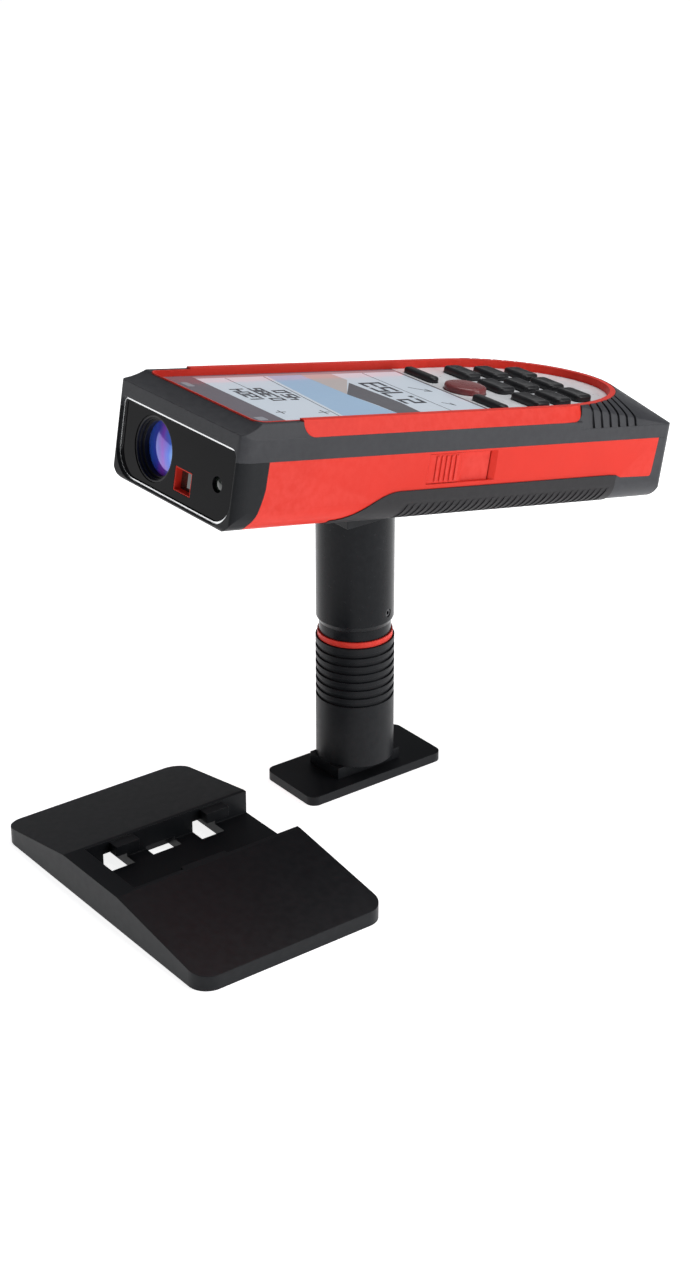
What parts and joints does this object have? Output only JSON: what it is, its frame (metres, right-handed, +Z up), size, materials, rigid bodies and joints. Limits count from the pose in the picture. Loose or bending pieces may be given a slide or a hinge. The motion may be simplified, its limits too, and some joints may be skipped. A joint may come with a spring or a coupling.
{
  "type": "laser distance meter",
  "caption": "Handheld laser distance meter with display and keypad on a tilting, swivelling post with a foot plate, and a loose wedge base.",
  "frame": {"origin": "centre of the foot plate's underside, on the surface it stands on", "axes": "-Y towards the laser exit, +X towards the meter's left side, +Z up along the post"},
  "size_m": [0.1063, 0.2114, 0.1355],
  "materials": {
    "coral_plastic": "fine-textured moulded plastic",
    "charcoal_plastic": "satin moulded plastic",
    "grip_rubber": "soft-touch moulded rubber",
    "trim_silver": "satin",
    "window_black": "polished",
    "barrel_black": "matt black anti-reflection",
    "coated_glass": "purple and blue coated",
    "dark_glass": "dark filter",
    "display_glass": "lit display behind clear glass",
    "display_module": "moulded frame",
    "panel_silver": "fine metallic paint",
    "key_rubber": "satin rubber",
    "dist_red": "translucent dark red on black",
    "anodised_black": "satin black anodised",
    "moulded_black": "fine-textured moulded plastic",
    "bright_steel": "brushed",
    "black_steel": "blackened",
    "brass": "turned",
    "board_green": "solder mask",
    "battery_wrap": "heat-shrink wrap",
    "cast_alloy": "die cast"
  },
  "bodies": {
    "stand": {"sleeve": "moulded_black", "sleeve_screw": "bright_steel", "foot_block": "moulded_black", "foot_plate": "moulded_black"},
    "insert": {"red_ring": "coral_plastic", "swivel_bush": "brass"},
    "head": {"spigot": "anodised_black", "post_tube": "anodised_black", "post_stud": "bright_steel", "set_screw": "black_steel", "tilt_base": "moulded_black", "thread_bush": "brass", "hinge_washers": "bright_steel"},
    "meter": {"lower_shell": "coral_plastic", "upper_frame": "charcoal_plastic", "red_rail": "coral_plastic", "front_guard": "moulded_black", "rear_bumper": "charcoal_plastic", "rear_guard": "charcoal_plastic", "grip_cradle": "grip_rubber", "bezel_trim": "trim_silver", "front_window": "window_black", "lens_barrel": "barrel_black", "objective_lens": "coated_glass", "laser_frame": "coral_plastic", "laser_window": "dark_glass", "finder_lens": "dark_glass", "camera_module": "barrel_black", "laser_module": "brass", "optics_block": "cast_alloy", "receiver_diode": "brass", "display_glass": "display_glass", "display_module": "display_module", "keypad_panel": "panel_silver", "key_mat": "key_rubber", "usb_port": "bright_steel", "main_board": "board_green", "battery": "battery_wrap", "battery_tray": "cast_alloy", "tilt_sensor": "moulded_black", "radio_module": "bright_steel", "buzzer": "moulded_black", "housing_screws": "bright_steel", "hinge_pin": "bright_steel"},
    "port_cover": {"port_cover": "coral_plastic"},
    "base_shoe": {"base_shoe": "moulded_black"},
    "dist_key": {"dist_key": "dist_red"},
    "softkey_left": {"softkey_left": "key_rubber"},
    "softkey_right": {"softkey_right": "key_rubber"},
    "key_1": {"key_1": "key_rubber"},
    "key_2": {"key_2": "key_rubber"},
    "key_3": {"key_3": "key_rubber"},
    "key_4": {"key_4": "key_rubber"},
    "key_5": {"key_5": "key_rubber"},
    "key_6": {"key_6": "key_rubber"},
    "key_7": {"key_7": "key_rubber"},
    "key_8": {"key_8": "key_rubber"},
    "key_9": {"key_9": "key_rubber"}
  },
  "joints": [
    {"name": "post_lift", "type": "slide", "parent": "stand", "child": "insert", "axis": [0, 0, 1], "range_m": [0, 0.032]},
    {"name": "swivel", "type": "hinge", "parent": "insert", "child": "head", "pos_m": [0, 0, 0.05], "axis": [0, 0, 1], "continuous": true},
    {"name": "tilt", "type": "hinge", "parent": "head", "child": "meter", "pos_m": [0, 0.017, 0.0953], "axis": [-1, 0, 0], "range_deg": [-10, 70]},
    {"name": "cover_slide", "type": "slide", "parent": "meter", "child": "port_cover", "axis": [0, 0.9848, -0.1736], "range_m": [0, 0.009]},
    {"name": "shoe_lift", "type": "slide", "parent": "stand", "child": "base_shoe", "axis": [0, 0, 1], "range_m": [0, 0.025]},
    {"name": "dist_key_press", "type": "slide", "parent": "meter", "child": "dist_key", "axis": [0, -0.1736, -0.9848], "range_m": [0, 0.0006], "stiffness_N_per_m": 900},
    {"name": "softkey_left_press", "type": "slide", "parent": "meter", "child": "softkey_left", "axis": [0, -0.1736, -0.9848], "range_m": [0, 0.0006], "stiffness_N_per_m": 900},
    {"name": "softkey_right_press", "type": "slide", "parent": "meter", "child": "softkey_right", "axis": [0, -0.1736, -0.9848], "range_m": [0, 0.0006], "stiffness_N_per_m": 900},
    {"name": "key_1_press", "type": "slide", "parent": "meter", "child": "key_1", "axis": [0, -0.1736, -0.9848], "range_m": [0, 0.0006], "stiffness_N_per_m": 900},
    {"name": "key_2_press", "type": "slide", "parent": "meter", "child": "key_2", "axis": [0, -0.1736, -0.9848], "range_m": [0, 0.0006], "stiffness_N_per_m": 900},
    {"name": "key_3_press", "type": "slide", "parent": "meter", "child": "key_3", "axis": [0, -0.1736, -0.9848], "range_m": [0, 0.0006], "stiffness_N_per_m": 900},
    {"name": "key_4_press", "type": "slide", "parent": "meter", "child": "key_4", "axis": [0, -0.1736, -0.9848], "range_m": [0, 0.0006], "stiffness_N_per_m": 900},
    {"name": "key_5_press", "type": "slide", "parent": "meter", "child": "key_5", "axis": [0, -0.1736, -0.9848], "range_m": [0, 0.0006], "stiffness_N_per_m": 900},
    {"name": "key_6_press", "type": "slide", "parent": "meter", "child": "key_6", "axis": [0, -0.1736, -0.9848], "range_m": [0, 0.0006], "stiffness_N_per_m": 900},
    {"name": "key_7_press", "type": "slide", "parent": "meter", "child": "key_7", "axis": [0, -0.1736, -0.9848], "range_m": [0, 0.0006], "stiffness_N_per_m": 900},
    {"name": "key_8_press", "type": "slide", "parent": "meter", "child": "key_8", "axis": [0, -0.1736, -0.9848], "range_m": [0, 0.0006], "stiffness_N_per_m": 900},
    {"name": "key_9_press", "type": "slide", "parent": "meter", "child": "key_9", "axis": [0, -0.1736, -0.9848], "range_m": [0, 0.0006], "stiffness_N_per_m": 900}
  ]
}
